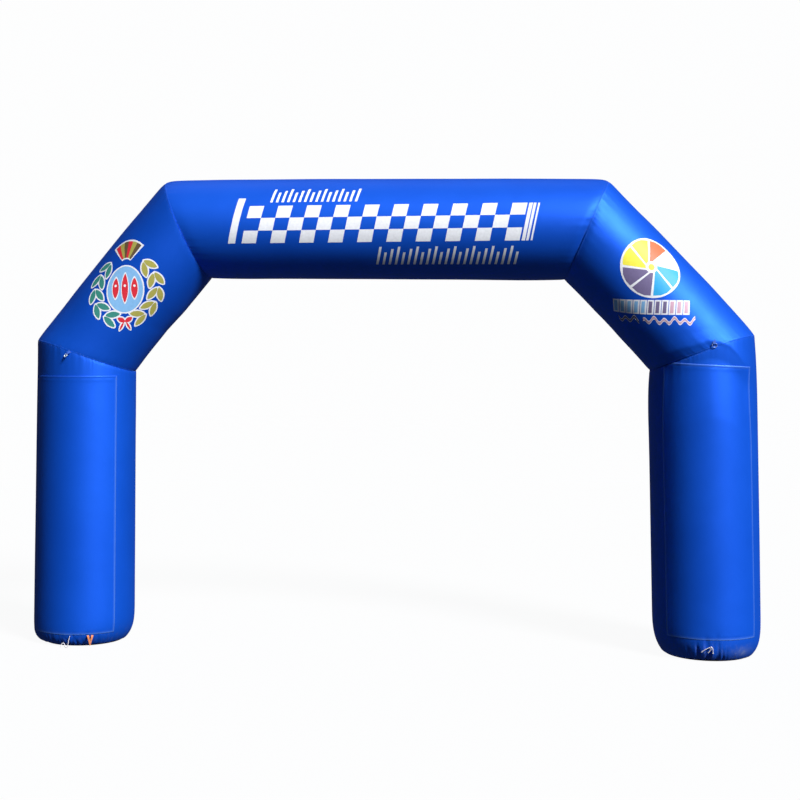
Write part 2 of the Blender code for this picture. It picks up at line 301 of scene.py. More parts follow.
def lay_out(start, end, start_cut, end_cut, columns, wider):
    """The cloth before it is blown up, as rows of (x, y, z, distance from its start, and from its end)."""
    axis = (end - start).normalized()
    turn = np.arange(columns) * math.tau / columns
    spokes = spokes_round(axis, turn)
    full = TUBE_RADIUS - SLACK
    ends = []
    for joint, inward, cut, swell in zip((start, end), (axis, -axis), (start_cut, end_cut), wider):
        place, way = np.array(joint), np.array(inward)
        if cut is None:
            ends.append(foot_rows(place, way, spokes, full + swell))
        else:
            seam, reach = seam_curve(joint, cut, axis, turn)
            gap = SEAM_GAP / 2 / abs(inward.dot(cut))
            ends.append(seam_rows(place + gap * way, way, spokes, full, swell, seam, reach))
    head, tail = ends
    span = np.linalg.norm(head[-1] - tail[-1], axis=1).mean()
    count = max(2, round(span / MIDDLE_SPACING))
    middle = [head[-1] + (tail[-1] - head[-1]) * step / count for step in range(1, count)]
    grid = np.array(head + middle + tail[::-1])
    walked = walk(grid)
    return np.concatenate([grid, walked[..., None], (walked[-1] - walked)[..., None]], axis=2)


def grid_faces(rows, columns, closed):
    """Quads between neighbouring rows and columns, facing away from the tube's axis."""
    across = columns if closed else columns - 1
    near = (np.arange(rows - 1)[:, None] * columns + np.arange(across)).ravel()
    row = near // columns * columns
    beside = row + (near - row + 1) % columns
    return np.stack([near, near + columns, beside + columns, beside], axis=1)


def add_object(name, data):
    made = bpy.data.objects.new(name, data)
    bpy.context.scene.collection.objects.link(made)
    return made


def grid_mesh(name, grid, material, closed=True, lengths=None):
    """A smooth mesh from rows of points, with the cloth's own lengths as its UV map."""
    rows, columns = grid.shape[:2]
    faces = grid_faces(rows, columns, closed)
    mesh = bpy.data.meshes.new(name)
    mesh.from_pydata(grid[..., :3].reshape(-1, 3).tolist(), [], faces.tolist())
    mesh.shade_smooth()
    mesh.materials.append(material)
    if lengths is not None:
        corner = faces.ravel()
        places = lengths[corner // columns, corner % columns]
        if closed:
            last = np.repeat(faces[:, 0] % columns == columns - 1, 4)
            places[last & (corner % columns == 0), 0] += math.tau * TUBE_RADIUS
        layer = mesh.uv_layers.new(name="cloth")
        layer.data.foreach_set("uv", places.astype(np.float32).ravel())
    return add_object(name, mesh)


def set_shade(piece, name, values):
    """A number from 0 to 1 on each point, which the material reads."""
    layer = piece.data.attributes.new(name, "FLOAT", "POINT")
    layer.data.foreach_set("value", np.clip(values, 0, 1).astype(np.float32).ravel())


def blow_up(grid, held):
    """Swell the cloth under pressure. Its held rows stay where they are sewn, and no point moves too far."""
    rows, columns = grid.shape[:2]
    cloth_piece = grid_mesh("swelling_cloth", grid, tube_cloth)
    sewn = cloth_piece.vertex_groups.new(name="sewn")
    for row in held:
        first = (row % rows) * columns
        sewn.add(list(range(first, first + columns)), 1.0, "REPLACE")
    swelling = cloth_piece.modifiers.new("air", "CLOTH")
    swelling.point_cache.frame_start = 1
    swelling.point_cache.frame_end = AIR_STEPS
    settings = swelling.settings
    settings.use_pressure = True
    settings.uniform_pressure_force = AIR_PRESSURE
    settings.effector_weights.gravity = 0.0
    settings.vertex_group_mass = "sewn"
    settings.tension_stiffness = 15.0
    settings.compression_stiffness = 5.0
    settings.shear_stiffness = 5.0
    settings.bending_stiffness = 0.05
    for moment in range(1, AIR_STEPS + 1):
        bpy.context.scene.frame_set(moment)
    swollen = cloth_piece.evaluated_get(bpy.context.evaluated_depsgraph_get()).to_mesh()
    points = np.empty(rows * columns * 3, np.float32)
    swollen.vertices.foreach_get("co", points)
    moved = points.reshape(rows, columns, 3) - grid[..., :3]
    far = np.linalg.norm(moved, axis=2, keepdims=True)
    moved *= np.minimum(1.0, MOST_SWELL / np.maximum(far, 1e-9))
    bpy.data.objects.remove(cloth_piece, do_unlink=True)
    return np.concatenate([grid[..., :3] + moved, grid[..., 3:]], axis=2)


def halve_cells(grid):
    """Twice the rows and columns, on a smooth surface through the points that are there."""
    for axis, joined in ((0, False), (1, True)):
        points = np.moveaxis(grid, axis, 0)
        if joined:
            longer = np.concatenate([points[-1:], points, points[:2]])
        else:
            longer = np.concatenate([2 * points[:1] - points[1:2], points, 2 * points[-1:] - points[-2:-1]])
        between = (9 * (longer[1:-2] + longer[2:-1]) - longer[:-3] - longer[3:]) / 16
        fine = np.empty((len(points) + len(between), *points.shape[1:]))
        fine[0::2] = points
        fine[1::2] = between
        grid = np.moveaxis(fine, 0, axis)
    return grid


def grid_normals(grid):
    places = grid[..., :3]
    across = np.roll(places, -1, axis=1) - np.roll(places, 1, axis=1)
    normals = np.cross(np.gradient(places, axis=0), across)
    return normals / np.maximum(np.linalg.norm(normals, axis=2, keepdims=True), 1e-12)


def turn_from(turn, middle):
    """How far round the tube it is from the middle, either way."""
    return (turn - middle + math.pi) % math.tau - math.pi


def bell(distance, width):
    return np.exp(-((distance / width) ** 2))


def foot_pleats(turn, height, pleats):
    """Gathers where the wall is eased on to the base panel: narrow valleys that fade as they climb."""
    total = np.zeros_like(height)
    for middle, slant, reach, depth, width, fade in pleats:
        aside = turn_from(turn, middle) * TUBE_RADIUS + slant * height
        total -= depth * bell(aside, width) * np.clip(1 - height / reach, 0, 1) ** fade
    return total


PLEAT_COUNT = 104


def make_pleats(seed, busiest, spread, strength, tall):
    """The pleats round a foot, deepest near the direction called busiest."""
    random = np.random.default_rng(seed)
    pleats = []
    for number in range(PLEAT_COUNT):
        turn = math.tau * (number + random.uniform(-0.4, 0.4)) / PLEAT_COUNT
        busy = bell(turn_from(turn, busiest), spread)
        slant = random.normal(0.0, 0.12 + 0.16 * busy)
        reach = random.uniform(0.05, 0.09) + busy * random.uniform(0.4, 1.0) * tall
        depth = random.uniform(0.0012, 0.0035) + strength * busy * random.uniform(0.3, 1.0)
        width = random.uniform(0.005, 0.010) + 0.003 * busy
        pleats.append((turn, slant, reach, depth, width, 1.5 - 0.8 * busy))
    return pleats


FRONT = -math.pi / 2
FOOT_PLEATS = {
    "leg_left": make_pleats(31, FRONT, 1.1, 0.004, 0.07),
    "leg_right": make_pleats(32, FRONT - 0.12, 0.42, 0.015, 0.16),
}

# Each hollow's end of the section, place round the tube, spread, depth and length.
CREASES = {
    "beam": (("start", FRONT - 0.25, 0.50, 0.006, 0.060), ("end", FRONT - 0.15, 0.55, 0.016, 0.040)),
    "diagonal_right": (("start", FRONT - 0.10, 0.45, 0.009, 0.035),),
}


def crease_depth(turn, from_start, from_end, creases):
    """Broad hollows beside a seam, where the bend leaves the cloth slack."""
    total = np.zeros_like(turn, dtype=float)
    for end, middle, spread, depth, length in creases:
        distance = from_start if end == "start" else from_end
        total -= depth * bell(distance, length) * bell(turn_from(turn, middle), spread)
    return total


# The fold's crest across the leg and up it, then how far the cloth stands out at each place below the crest.
FOLD_ACROSS = (-0.34, -0.22, -0.06, 0.02, 0.10, 0.18, 0.245, 0.30, 0.40)
FOLD_HEIGHT = (2.385, 2.435, 2.475, 2.500, 2.490, 2.462, 2.395, 2.320, 2.265)
BELOW_FOLD = (-0.45, -0.10, 0.0, 0.03, 0.14, 0.20, 0.60)
FOLD_STANDS = (0.0, 0.002, 0.008, 0.001, -0.017, -0.019, 0.0)


def shoulder_fold(grid):
    """The slack under the right tether: cloth that stands out along a bowed line and falls back below it."""
    across = grid[..., 0] - LEG_X
    below = np.interp(across, FOLD_ACROSS, FOLD_HEIGHT) - grid[..., 2]
    facing = np.clip(-grid[..., 1] / TUBE_RADIUS, 0, 1) ** 0.7
    ends = 1 - np.clip((np.abs(across) - 0.30) / 0.12, 0, 1)
    return np.interp(below, BELOW_FOLD, FOLD_STANDS) * facing * ends


def foot_patch_and_crest_highlights(grid, turn, name):
    """Where the right foot is painted paler: painted highlights along its pleat crests, and one patch towards
    its outer front.
    """
    if name != "leg_right":
        return np.zeros_like(turn)
    height = grid[..., 2]
    aside = turn - FRONT - math.tau
    patch = bell(aside - 0.62, 0.22) * bell(height - 0.075, 0.035)
    pleated = bell(aside + 0.12, 0.33) * bell(height - 0.09, 0.05)
    crests = np.clip(np.cos(58 * turn + 3 * np.sin(9 * turn)), 0, 1) ** 3
    return 0.85 * patch + 0.60 * pleated * crests


def gather_cloth(grid, name, seed, start_cut, end_cut):
    """The blown-up section with puckers along its seams, soft hollows, and pleats at a foot."""
    columns = grid.shape[1]
    turn = np.broadcast_to(np.arange(columns) * math.tau / columns, grid.shape[:2])
    from_start, from_end = grid[..., 3], grid[..., 4]
    lift = HOLLOW_HEIGHT * long_waves(turn, from_start, seed)
    for cut, distance, key in ((start_cut, from_start, 40), (end_cut, from_end, 60)):
        if cut is None:
            continue
        strong = 0.65 + 0.35 * round_waves(turn, 2, 7, seed + key + 1)
        puckers = np.zeros_like(lift)
        for kind, (fewest, most, height, reach) in enumerate(PUCKERS, 2):
            puckers += height * round_waves(turn, fewest, most, seed + key + kind) * np.exp(-distance / reach)
        lift += strong * np.minimum(1.0, distance / SEWN_FLAT) * puckers
        lift -= STITCH_DENT * bell(distance - STITCH_INSET, 0.005)
    lift += crease_depth(turn, from_start, from_end, CREASES.get(name, ()))
    if name in ("leg_right", "diagonal_right"):
        lift += shoulder_fold(grid)
    lift += foot_pleats(turn, grid[..., 2], FOOT_PLEATS.get(name, ()))
    shaped = grid.copy()
    shaped[..., :3] += grid_normals(grid) * lift[..., None]
    shaped[..., 2] = np.maximum(shaped[..., 2], FOOT_BOTTOM)
    return shaped


def turn_in(grid, centre, foot):
    """The rows of seam allowance inside the tube at the first row's end, innermost first."""
    rows = []
    for share in ALLOWANCE_SHARES:
        inner = grid[0].copy()
        inner[:, :3] = np.array(centre) + (inner[:, :3] - np.array(centre)) * share
        inner[:, 2] = np.where(foot, FOOT_BOTTOM + 0.0003, inner[:, 2])
        rows.append(inner)
    return np.array(rows)


def mitre(before, joint, after):
    return ((joint - before).normalized() + (after - joint).normalized()).normalized()


def stand_in(piece, node):
    """Fix a piece to the arch in place of its CAD node."""
    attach(piece, "root")
    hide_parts(node)


cuts = [None] + [mitre(*ARCH_ROUTE[i - 1 : i + 2]) for i in range(1, 5)] + [None]
tube_grids = {}
tube_trees = {}
for i, (name, columns, seed, wider) in enumerate(SECTIONS):
    start, end = ARCH_ROUTE[i], ARCH_ROUTE[i + 1]
    start_cut, end_cut = cuts[i], cuts[i + 1]
    cloth = lay_out(start, end, start_cut, end_cut, columns, wider)
    held_rows = [0, -1] + ([1, 2] if start_cut is None else []) + ([-2, -3] if end_cut is None else [])
    cloth = halve_cells(blow_up(cloth, held_rows))
    cloth = gather_cloth(cloth, name, seed, start_cut, end_cut)
    tube_grids[name] = cloth
    head = turn_in(cloth, start, start_cut is None)
    tail = turn_in(cloth[::-1], end, end_cut is None)[::-1]
    by_start = cloth[:1] + (cloth[1:2] - cloth[:1]) * STITCH_ROW
    by_end = cloth[-1:] + (cloth[-2:-1] - cloth[-1:]) * STITCH_ROW
    whole = np.concatenate([head, cloth[:1], by_start, cloth[1:-1], by_end, cloth[-1:], tail])
    turn = np.broadcast_to(np.arange(whole.shape[1]) / whole.shape[1], whole.shape[:2]) * math.tau
    lengths = np.stack([turn * TUBE_RADIUS, whole[..., 3]], axis=2)
    tube = grid_mesh("cloth_" + name, whole, tube_cloth, True, lengths)
    to_seam = np.minimum(whole[..., 3] if start_cut else 1.0, whole[..., 4] if end_cut else 1.0)
    set_shade(tube, "seam_shade", 0.05 * np.exp(-to_seam / 0.005))
    # Painted highlights on the right foot's pleat crests, and its pale patch.
    set_shade(tube, "foot_patch_and_crest_highlights", foot_patch_and_crest_highlights(whole, turn, name))
    faces = grid_faces(whole.shape[0], whole.shape[1], True)
    tube_trees[name] = BVHTree.FromPolygons(whole[..., :3].reshape(-1, 3).tolist(), faces.tolist())
    stand_in(tube, name)
bpy.context.scene.frame_set(1)

# ---- The seams' stitching ----
# Two rows of thick bonded thread, one on each side of every mitre seam. Each stitch is a short bead of thread
# that sinks into the cloth at both ends, and the stitches of one seam are one mesh.
THREAD_RADIUS = 0.0007
STITCH_LENGTH = 0.0065
STITCH_PITCH = 0.0085

thread = new_material("seam_thread", (0.02, 0.12, 0.62), 0.55, sheen=0.3)
feed_shader(thread, "Roughness", stretched(thread, uneven(thread, 0.004), least=0.45, most=0.7))
twist = add_node(thread, "TexWave", {"Scale": 700.0, "Distortion": 1.0})
use_bump(thread, twist.outputs["Fac"], 0.0001, 0.5)


def stitch_line(path, normals, closed=True):
    """Points and faces of a row of stitches laid along a path on the cloth."""
    if closed:
        path = np.concatenate([path, path[:1]])
        normals = np.concatenate([normals, normals[:1]])
    walked = walk(path)
    middles = np.arange(STITCH_PITCH / 2, walked[-1] - STITCH_LENGTH / 2, STITCH_PITCH)

    def along_path(distance, values):
        return np.stack([np.interp(distance, walked, values[:, k]) for k in range(3)], axis=1)

    place = along_path(middles, path)
    up = along_path(middles, normals)
    forward = along_path(middles + 0.001, path) - along_path(middles - 0.001, path)
    forward /= np.linalg.norm(forward, axis=1, keepdims=True)
    side = np.cross(up, forward)
    profile = [(-0.5, 0.0, -0.4)]
    for share in (-0.28, 0.28):
        profile += [(share, 1.0, 0.1), (share, 0.0, 1.1), (share, -1.0, 0.1), (share, 0.0, -0.6)]
    profile += [(0.5, 0.0, -0.4)]
    points = [
        place + forward * STITCH_LENGTH * on + (side * aside + up * raised) * THREAD_RADIUS
        for on, aside, raised in profile
    ]
    points = np.stack(points, axis=1).reshape(-1, 3)
    bead = []
    for k in range(4):
        beside = (k + 1) % 4
        bead += [(0, 1 + k, 1 + beside), (1 + k, 5 + k, 5 + beside, 1 + beside), (5 + k, 9, 5 + beside)]
    faces = [tuple(c + len(profile) * n for c in face) for n in range(len(middles)) for face in bead]
    return points, faces


def stitch_piece(name, lines):
    points, faces = [], []
    for line_points, line_faces in lines:
        faces += [tuple(corner + len(points) for corner in face) for face in line_faces]
        points += line_points.tolist()
    mesh = bpy.data.meshes.new(name)
    mesh.from_pydata(points, [], faces)
    mesh.shade_smooth()
    mesh.materials.append(thread)
    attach(add_object(name, mesh), "root")


def seam_row(grid, row):
    """A row of cloth next to a seam, that its stitches run along."""
    return grid[row][:, :3], grid_normals(grid)[row]


for i, seam_name in enumerate(("shoulder_left", "elbow_left", "elbow_right", "shoulder_right")):
    below, above = (tube_grids[section[0]] for section in SECTIONS[i : i + 2])
    rows = [stitch_line(*seam_row(below, -2)), stitch_line(*seam_row(above, 1))]
    stitch_piece("stitching_" + seam_name, rows)

# ---- The base panels ----
# A round of heavier dark cloth under each foot, which lies flat on the floor. Its rim is doubled where the
# leg's wall is sewn to it.
BASE_RADIUS = 0.33
BASE_THICKNESS = 0.003
RIM_POINTS = 96


def worn_material(name, colour, worn, roughness, sheen, patches, specular=0.5):
    """A material that wears to a second colour. patches is their size and detail, and where they set in."""
    size, detail, low, high = patches
    material = new_material(name, colour, roughness, sheen=sheen, specular=specular)
    share = stretched(material, uneven(material, size, detail), low, high)
    feed_shader(material, "Base Color", mix_colours(material, share, (*colour, 1.0), (*worn, 1.0)))
    return material


SCUFFS = (0.05, 6.0, 0.5, 0.8)
base_cloth = worn_material("base_cloth", (0.012, 0.02, 0.07), (0.05, 0.055, 0.08), 0.62, 0.1, SCUFFS)
use_bump(base_cloth, weave_height(base_cloth, 0.0018), 0.0002, 0.7)

radii = [0.002] + [BASE_RADIUS * step / 16 for step in range(1, 16)]
profile = [(radius, BASE_THICKNESS - 0.0008) for radius in radii]
profile += [(BASE_RADIUS - 0.012, BASE_THICKNESS - 0.0006), (BASE_RADIUS - 0.008, BASE_THICKNESS)]
profile += [(BASE_RADIUS - 0.001, BASE_THICKNESS), (BASE_RADIUS, 0.0015), (BASE_RADIUS - 0.001, 0.0)]
profile += [(radius, 0.0) for radius in reversed(radii)]
turns = np.arange(RIM_POINTS) * math.tau / RIM_POINTS
for side, leg_x in (("left", -LEG_X), ("right", LEG_X)):
    rows = []
    for radius, height in reversed(profile):
        level = np.full(RIM_POINTS, height)
        rows.append(np.stack([leg_x + radius * np.cos(turns), radius * np.sin(turns), level], axis=1))
    rows = np.array(rows)
    panel = grid_mesh("base_panel_cloth_" + side, rows, base_cloth, True, rows[..., :2])
    stand_in(panel, "base_panel_" + side)

# ---- The banner panels ----
# A hemmed rectangle of the same cloth wrapped round the front of each leg. The hem is folded over and sewn,
# stands a little proud of the leg, and is puckered by its stitches.
PANEL_ARC = math.radians(52.5)
PANEL_HEIGHT = 2.12
PANEL_LIFT = 0.0026
PANEL_PLY = 0.0012
HEM = 0.024
HEM_RISE = 0.0016
HEM_RIPPLE = 0.0004
HEM_STITCH_DENT = 0.0010
HEM_EDGE_ROUND = 0.0012
TOP_SLACK = 0.0045
FOOT_TUCK = 0.0035
# In each panel, "top" is how strong the painted highlight along its top hem is.
PANELS = (
    {"side": "left", "x": -LEG_X, "seed": 71, "raised": 0.003, "tilt": 0.0, "taller": 0.0, "top": 0.1},
    {"side": "right", "x": LEG_X, "seed": 72, "raised": 0.022, "tilt": 0.040, "taller": 0.017, "top": 0.7},
)

banner_cloth = coated_cloth("banner_cloth", (0.003, 0.100, 0.74), (0.004, 0.110, 0.78), 0.51)
# The hem's pale line: partly wear on the fold, partly a painted highlight along the folded edges.
under_hem = banner_cloth.node_tree.nodes["Principled BSDF"].inputs["Base Color"].links[0].from_socket
hemmed = mix_colours(banner_cloth, shade_on(banner_cloth, "hem_highlight_and_wear"), under_hem, (0.12, 0.29, 0.90, 1.0))
feed_shader(banner_cloth, "Base Color", hemmed)


def edge_steps(length, spacing):
    """Places across a hemmed sheet: close together in both hems, and this far apart between them."""
    hem = [HEM * step / 6 for step in range(7)]
    between = np.linspace(HEM, length - HEM, max(2, round((length - 2 * HEM) / spacing)) + 1)
    return np.array(hem[:-1] + list(between) + [length - place for place in hem[-2::-1]])


def on_tube(section_name, axis_point, direction):
    """Where the cloth of a section is, looking out from its axis."""
    tree = tube_trees[section_name]
    place = tree.ray_cast(axis_point, direction)[0]
    return place or tree.find_nearest(axis_point + direction * TUBE_RADIUS)[0]


def panel_lift(panel, phases, aside, rise, width):
    """How far a banner stands off the leg, and how strong the painted highlight on its hem is there.

    It is proud and rippled in its hem, slack along its top and close to the leg at its foot.
    """
    to_top = PANEL_HEIGHT - rise
    edge = min(aside, width - aside, rise, to_top)
    lift = PANEL_LIFT
    if edge < HEM + 0.0005:
        ripple = sum(math.sin(230 * (aside + rise) * k + phases[k]) for k in (1, 2)) / 2
        lift += HEM_RISE + HEM_RIPPLE * ripple * min(1.0, edge / 0.006)
        lift -= HEM_STITCH_DENT * bell(edge - 0.020, 0.003) + HEM_EDGE_ROUND * math.exp(-edge / 0.0015)
    sag = 0.6 + 0.25 * math.sin(9 * aside + phases[3]) + 0.15 * math.sin(23 * aside + phases[4])
    lift += TOP_SLACK * sag * math.exp(-to_top / 0.05)
    lift += 0.0006 * math.sin(3.1 * rise + phases[5]) * math.sin(8 * aside + phases[6])
    # The painted highlight along the hem: as strong as the panel's "top" on the top edge, 0.80 on the others.
    pale = panel["top"] if edge == to_top else 0.80
    hem_highlight_and_wear = pale * (bell(edge, 0.009) + 0.12 * (edge < HEM))
    return max(HEM_RISE, lift - FOOT_TUCK * math.exp(-rise / 0.060)), hem_highlight_and_wear


for panel in PANELS:
    hem_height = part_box("banner_panel_" + panel["side"])[0].z
    width = 2 * PANEL_ARC * TUBE_RADIUS
    across = edge_steps(width, 0.012)
    up = edge_steps(PANEL_HEIGHT, 0.020)
    leg = "leg_" + panel["side"]
    phases = np.random.default_rng(panel["seed"]).uniform(0, math.tau, 12)
    grid = np.zeros((len(up), len(across), 3))
    hem_highlight_and_wear = np.zeros(grid.shape[:2])
    for r, rise in enumerate(up):
        for c, aside in enumerate(across):
            angle = aside / TUBE_RADIUS - PANEL_ARC
            direction = Vector((math.sin(angle), -math.cos(angle), 0.0))
            height = hem_height + panel["raised"] + rise * (1 + panel["taller"] / PANEL_HEIGHT)
            height -= panel["tilt"] * (aside / width - 0.5) * (rise / PANEL_HEIGHT) ** 4
            lift, hem_highlight_and_wear[r, c] = panel_lift(panel, phases, aside, rise, width)
            grid[r, c] = on_tube(leg, Vector((panel["x"], 0.0, height)), direction) + direction * lift
    lengths = np.stack(np.meshgrid(across, up), axis=2)
    sheet = grid_mesh("banner_cloth_" + panel["side"], grid[:, ::-1], banner_cloth, False, lengths)
    set_shade(sheet, "hem_highlight_and_wear", hem_highlight_and_wear[:, ::-1])
    ply = sheet.modifiers.new("cloth and backing", "SOLIDIFY")
    ply.thickness = PANEL_PLY
    ply.offset = -1.0
    stand_in(sheet, "banner_panel_" + panel["side"])

# ---- The prints ----
# Screen prints on the cloth: a white chequer band with rows of slanted bars on the beam, a leaf medallion on
# the left diagonal and a pinwheel on the right one. Each is thin ink, cut into cells that follow the cloth.
INK_LIFT = 0.0007
INK_LAYER = 0.0004
INK_COLOURS = (
    ("white", (0.84, 0.86, 0.92)),
    ("pale_blue", (0.24, 0.50, 0.84)),
    ("red", (0.70, 0.03, 0.05)),
    ("green", (0.045, 0.26, 0.22)),
    ("gold", (0.42, 0.39, 0.09)),
    ("brown", (0.14, 0.09, 0.045)),
    ("yellow", (0.86, 0.78, 0.07)),
    ("orange", (0.86, 0.16, 0.07)),
    ("grey", (0.17, 0.14, 0.28)),
    ("cyan", (0.03, 0.38, 0.76)),
    ("pink", (0.62, 0.38, 0.50)),
)

inks = {}
for ink_name, ink_colour in INK_COLOURS:
    thin = tuple(0.9 * share for share in ink_colour)
    ink = worn_material("ink_" + ink_name, ink_colour, thin, 0.5, 0.0, (0.02, 5.0, 0.3, 0.7), specular=0.3)
    use_bump(ink, uneven(ink, 0.0015), 0.00008, 0.5)
    inks[ink_name] = ink


def leaf_shape(x, y, length, width, tilt):
    """A pointed oval."""
    turn = np.arange(24) * math.tau / 24
    along = length / 2 * np.cos(turn)
    across = width / 2 * np.sin(turn) * (1 - 0.35 * np.cos(turn) ** 2)
    cos, sin = math.cos(tilt), math.sin(tilt)
    return list(zip(x + along * cos - across * sin, y + along * sin + across * cos))


def arc_shape(x, y, wide, high, start=0.0, end=360.0, count=48):
    """Points round an oval from one angle towards another, in degrees."""
    turns = [math.radians(start + (end - start) * step / count) for step in range(count)]
    return [(x + wide * math.cos(turn), y + high * math.sin(turn)) for turn in turns]


def bar_shape(x, y, width, height, lean):
    """A slanted bar. x and y are its lower left corner."""
    shift = lean * height
    return [(x, y), (x + width, y), (x + width + shift, y + height), (x + shift, y + height)]


def wedge_shape(x, y, near, far, start, end):
    """Part of a ring between two angles in degrees."""
    past_end = end + (end - start) / 8
    inner = arc_shape(x, y, near, near, start, past_end, 9)
    return arc_shape(x, y, far, far, start, past_end, 9) + inner[::-1]


def print_on_cloth(name, shapes, to_cloth, cell=0.018):
    """Lay shapes of (outline, ink, layer) on the cloth. to_cloth gives a point and its facing for x and y."""
    bm = bmesh.new()
    used = sorted({ink_name for _, ink_name, _ in shapes})
    for outline, ink_name, layer in shapes:
        face = bm.faces.new([bm.verts.new((x, y, layer)) for x, y in outline])
        face.material_index = used.index(ink_name)
    bm.normal_update()
    bmesh.ops.triangulate(bm, faces=bm.faces[:])
    for axis in (0, 1):
        places = [vert.co[axis] for vert in bm.verts]
        first, last = min(places), max(places)
        for step in range(1, math.ceil((last - first) / cell)):
            point, facing = Vector((0, 0, 0)), Vector((0, 0, 0))
            point[axis] = first + step * cell
            facing[axis] = 1.0
            whole = bm.verts[:] + bm.edges[:] + bm.faces[:]
            bmesh.ops.bisect_plane(bm, geom=whole, plane_co=point, plane_no=facing)
    for vert in bm.verts:
        place, facing = to_cloth(vert.co.x, vert.co.y)
        vert.co = place + facing * (INK_LIFT + INK_LAYER * vert.co.z)
    bm.normal_update()
    mesh = bpy.data.meshes.new(name)
    bm.to_mesh(mesh)
    bm.free()
    mesh.shade_smooth()
    for ink_name in used:
        mesh.materials.append(inks[ink_name])
    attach(add_object(name, mesh), "root")


def place_on_beam(x, y):
    """x along the beam from its middle, y up the cloth from its front line."""
    turn = y / TUBE_RADIUS
    direction = Vector((0.0, -math.cos(turn), math.sin(turn)))
    return on_tube("beam", Vector((x, 0.0, BEAM_Z)), direction), direction


def place_on_diagonal(side, rise, aside):
    """For prints that stand upright on a diagonal, this far up it and off its front line."""
    shoulder = Vector((-LEG_X, 0.0, SHOULDER_Z))
    axis = (Vector((-BEAM_HALF, 0.0, BEAM_Z)) - shoulder).normalized()
    mirror = Vector((1.0 if side == "left" else -1.0, 1.0, 1.0))

    def to_cloth(x, y):
        across = x * mirror.x
        point = shoulder + axis * (rise + axis.x * across + axis.z * y)
        turn = (aside + axis.x * y - axis.z * across) / TUBE_RADIUS
        out = math.sin(turn)
        direction = Vector((-axis.z * out, -math.cos(turn), axis.x * out)) * mirror
        return on_tube("diagonal_" + side, point * mirror, direction), direction

    return to_cloth


LEAN = 0.22
CELL_WIDTH, CELL_HEIGHT = 0.120, 0.104
BAND_LOW, BAND_LEFT = -0.137, -1.155
bars = []
for row in range(3):
    for column in range(row % 2, 19, 2):
        x = BAND_LEFT + column * CELL_WIDTH + LEAN * row * CELL_HEIGHT
        bars.append((x, BAND_LOW + row * CELL_HEIGHT, CELL_WIDTH, CELL_HEIGHT))
bars.append((-1.27, BAND_LOW, 0.06, 0.385))
bars += [(1.140 + 0.036 * step, BAND_LOW, 0.028 - 0.007 * step, 3 * CELL_HEIGHT) for step in range(3)]
bars += [(-0.92 + 0.047 * step, 0.208, 0.020, (0.14, 0.10, 0.12)[step % 3]) for step in range(16)]
bars += [(-0.05 + 0.051 * step, -0.350, 0.020, (0.17, 0.12, 0.15)[step % 3]) for step in range(23)]
band = [(bar_shape(*bar, LEAN), "white", 0) for bar in bars]
print_on_cloth("print_beam_chequers", band, place_on_beam)

DISC_Y = -0.035
medal = [
    (arc_shape(0, DISC_Y, 0.166, 0.205), "white", 0),
    (arc_shape(0, DISC_Y, 0.154, 0.193), "pale_blue", 1),
]
for petal_x, petal_tall in ((-0.082, 0.20), (0.0, 0.27), (0.082, 0.20)):
    medal.append((leaf_shape(petal_x, DISC_Y + 0.01, petal_tall, 0.070, math.pi / 2), "white", 2))
    medal.append((leaf_shape(petal_x, DISC_Y + 0.01, petal_tall - 0.03, 0.056, math.pi / 2), "red", 3))
    medal.append((arc_shape(petal_x, DISC_Y + 0.03, 0.011, 0.011, count=12), "white", 4))
for number in range(5):
    angle = math.radians(-64 + 27 * number)
    for side_sign, leaf_ink in ((-1, "green"), (1, "gold")):
        for out, turned in ((0.235, 0.55), (0.302, -0.35)):
            lean_out = (angle + math.pi / 2 - turned) * side_sign + (math.pi if side_sign < 0 else 0)
            x, y = side_sign * out * math.cos(angle), DISC_Y + out * math.sin(angle)
            medal.append((leaf_shape(x, y, 0.150, 0.074, lean_out), "white", out * 2))
            medal.append((leaf_shape(x, y, 0.122, 0.050, lean_out), leaf_ink, 2 + out * 2))
for step in range(6):
    fan_ink = ("brown", "gold", "red")[step % 3]
    medal.append((wedge_shape(0, 0.165, 0.068, 0.215, 51 + 13 * step, 64 + 13 * step), fan_ink, 3))
medal.append((wedge_shape(0, 0.165, 0.056, 0.230, 46, 134), "white", 2.2))
BOW_PARTS = ((0.030, -0.258, 0.070, 0.040, 0.5), (0.028, -0.312, 0.080, 0.018, -1.1))
for side_sign in (-1, 1):
    for ink_name, grow, layer in (("white", 0.022, 2.7), ("red", 0.0, 3.7)):
        for x, y, length, width, tilt in BOW_PARTS:
            size = (length + grow, width + grow)
            medal.append((leaf_shape(side_sign * x, DISC_Y + y, *size, tilt * side_sign), ink_name, layer))
print_on_cloth("print_leaf_medallion", medal, place_on_diagonal("left", 0.709, 0.034), 0.016)

WHEEL_X, WHEEL_Y = 0.015, 0.107
wheel = [(arc_shape(WHEEL_X, WHEEL_Y, 0.252, 0.252), "white", 0)]
for number, blade_ink in enumerate(("orange", "yellow", "yellow", "grey", "grey", "cyan", "cyan", "white")):
    angle = math.radians(67 + 45 * number)
    corners = []
    for reach, turned in ((0.030, 0.9), (0.232, -0.37), (0.238, -0.12), (0.238, 0.12), (0.232, 0.33)):
        turn = angle + turned
        corners.append((WHEEL_X + reach * math.cos(turn), WHEEL_Y + reach * math.sin(turn)))
    wheel.append((corners, blade_ink, 1))
wheel.append((arc_shape(WHEEL_X, WHEEL_Y, 0.048, 0.048, count=24), "white", 2))
wheel.append((arc_shape(WHEEL_X, WHEEL_Y, 0.026, 0.026, count=18), "yellow", 3))
for step in range(11):
    x = -0.322 + 0.0570 * step
    bar_ink = "pale_blue" if step < 5 else "grey" if step < 8 else "pink"
    wheel.append((bar_shape(x, -0.278, 0.052, 0.118, 0.10), "white", 0))
    wheel.append((bar_shape(x + 0.011, -0.266, 0.028, 0.094, 0.10), bar_ink, 1))
